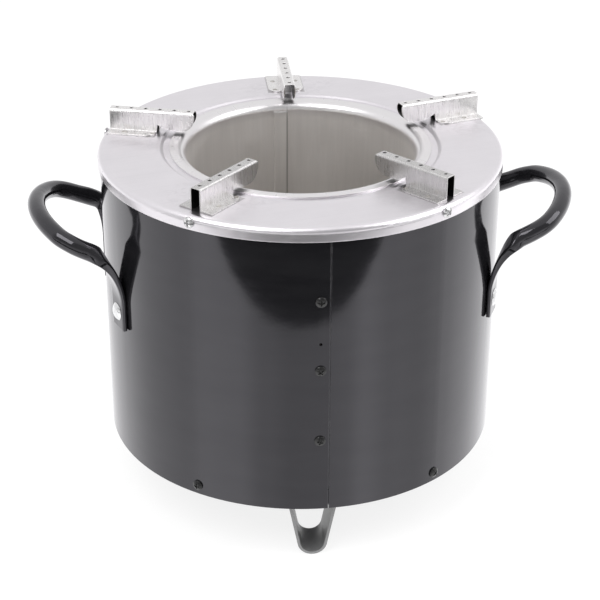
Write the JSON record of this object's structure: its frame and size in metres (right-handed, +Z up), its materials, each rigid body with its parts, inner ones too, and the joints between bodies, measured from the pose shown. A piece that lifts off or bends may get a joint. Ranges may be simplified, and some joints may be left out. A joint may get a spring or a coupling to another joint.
{
  "type": "rocket stove",
  "caption": "Round wood-burning rocket stove: enamelled insulated body, stainless top ring with pot supports, tube handles, strap legs and a sliding fuel shelf.",
  "frame": {"origin": "on the floor, under the stove's axis", "axes": "+Z up along the stove's axis; +Y out of the fuel mouth; the body's lap seam faces -Y; the handles stand near +X and -X"},
  "size_m": [0.4046, 0.3212, 0.2875],
  "materials": {
    "enamel": "gloss black enamel",
    "handle_enamel": "gloss black enamel",
    "ring_stainless": "satin stainless",
    "support_stainless": "bright stainless",
    "chamber_stainless": "dull stainless",
    "screw_bright": "zinc plated",
    "screw_black": "black oxide",
    "rivet_bright": "bright",
    "plain_steel": "dull mill finish",
    "insulation": "matte fibre",
    "floor_steel": "dull"
  },
  "bodies": {
    "body": {"outer_shell": "enamel", "seam_screws": "screw_black", "base_screws": "screw_black", "ring_screws": "screw_bright", "top_ring": "ring_stainless", "combustion_chamber": "chamber_stainless", "chamber_floor": "floor_steel", "base_pan": "enamel", "base_insulation": "insulation", "insulation_sleeve": "insulation", "fuel_tunnel": "chamber_stainless", "fuel_mouth_frame": "enamel", "mouth_screws": "screw_bright", "shelf_rail_left": "plain_steel", "shelf_rail_right": "plain_steel", "leg_front": "plain_steel", "leg_rear_right": "plain_steel", "leg_rear_left": "plain_steel", "leg_rivets": "rivet_bright", "pot_support_rear": "support_stainless", "pot_support_right": "support_stainless", "pot_support_front_right": "support_stainless", "pot_support_front_left": "support_stainless", "pot_support_left": "support_stainless", "handle_left": "handle_enamel", "handle_right": "handle_enamel", "handle_rivets": "rivet_bright", "rivet_washers": "plain_steel"},
    "shelf": {"fuel_shelf": "plain_steel"}
  },
  "joints": [
    {"name": "shelf_slide", "type": "slide", "parent": "body", "child": "shelf", "axis": [0, 1, 0], "range_m": [0, 0.12]}
  ]
}
